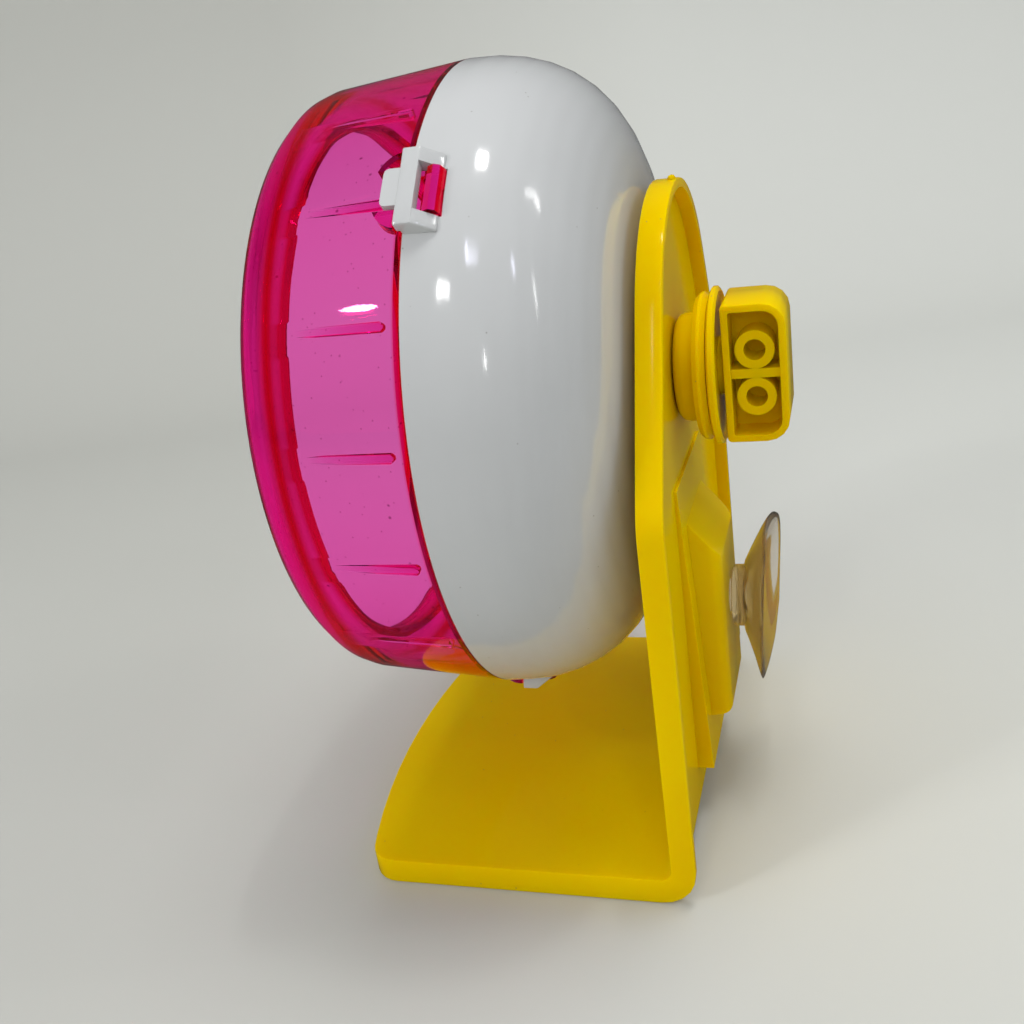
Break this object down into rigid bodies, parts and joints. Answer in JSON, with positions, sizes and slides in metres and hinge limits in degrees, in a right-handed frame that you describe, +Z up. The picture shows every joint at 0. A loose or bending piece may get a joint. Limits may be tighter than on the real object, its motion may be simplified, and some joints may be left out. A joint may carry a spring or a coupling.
{
  "type": "rodent exercise wheel",
  "caption": "Clear-fronted drum with a rounded bowl back and an open mouth, turning on a bearing over an L-shaped stand, with a wing-screw wire clamp and a suction cup behind.",
  "frame": {"origin": "middle of the object's footprint box, on the surface it stands on", "axes": "+Z up, -Y out of the wheel's open mouth, +Y towards the clamp and the suction cup behind the stand, +X to the right seen from the back"},
  "size_m": [0.142, 0.1046, 0.1749],
  "materials": {
    "pink_clear": "polished, tinted and see-through",
    "white_gloss": "gloss",
    "yellow_gloss": "gloss",
    "cup_clear": "soft, clear and smooth",
    "steel": "ground",
    "spring_steel": "oiled",
    "nylon": "natural"
  },
  "bodies": {
    "stand": {"stand": "yellow_gloss", "spindle": "yellow_gloss", "lock_ring": "spring_steel", "bearing_inner_race": "steel", "axle_screw": "steel", "retaining_washer": "steel", "suction_cup": "cup_clear"},
    "wheel": {"rear_bowl": "white_gloss", "front_ring": "pink_clear", "hub_cap": "white_gloss", "bearing_outer_race": "steel", "bearing_front_shield": "steel", "bearing_back_shield": "steel"},
    "ball_cage": {"bearing_retainer": "nylon", "bearing_ball_1": "steel", "bearing_ball_2": "steel", "bearing_ball_3": "steel", "bearing_ball_4": "steel", "bearing_ball_5": "steel", "bearing_ball_6": "steel", "bearing_ball_7": "steel"},
    "clamp": {"clamp_disc": "yellow_gloss"},
    "wing": {"wing_screw": "yellow_gloss"}
  },
  "joints": [
    {"name": "wheel_spin", "type": "hinge", "parent": "stand", "child": "wheel", "pos_m": [0.00104, 0, 0.105], "axis": [0, 1, 0], "continuous": true},
    {"name": "bearing_cage_spin", "type": "hinge", "parent": "stand", "child": "ball_cage", "pos_m": [0.00104, 0, 0.105], "axis": [0, 1, 0], "continuous": true},
    {"name": "clamp_slide", "type": "slide", "parent": "stand", "child": "clamp", "axis": [0, 1, 0], "range_m": [0, 0.005]},
    {"name": "wing_turn", "type": "hinge", "parent": "clamp", "child": "wing", "pos_m": [0.00104, 0, 0.105], "axis": [0, 1, 0], "range_deg": [0, 900]}
  ],
  "couplings": [
    {"joint": "bearing_cage_spin", "follows": "wheel_spin", "ratio": 0.63102},
    {"joint": "wing_turn", "follows": "clamp_slide", "rad_per_m": 3141.6}
  ]
}
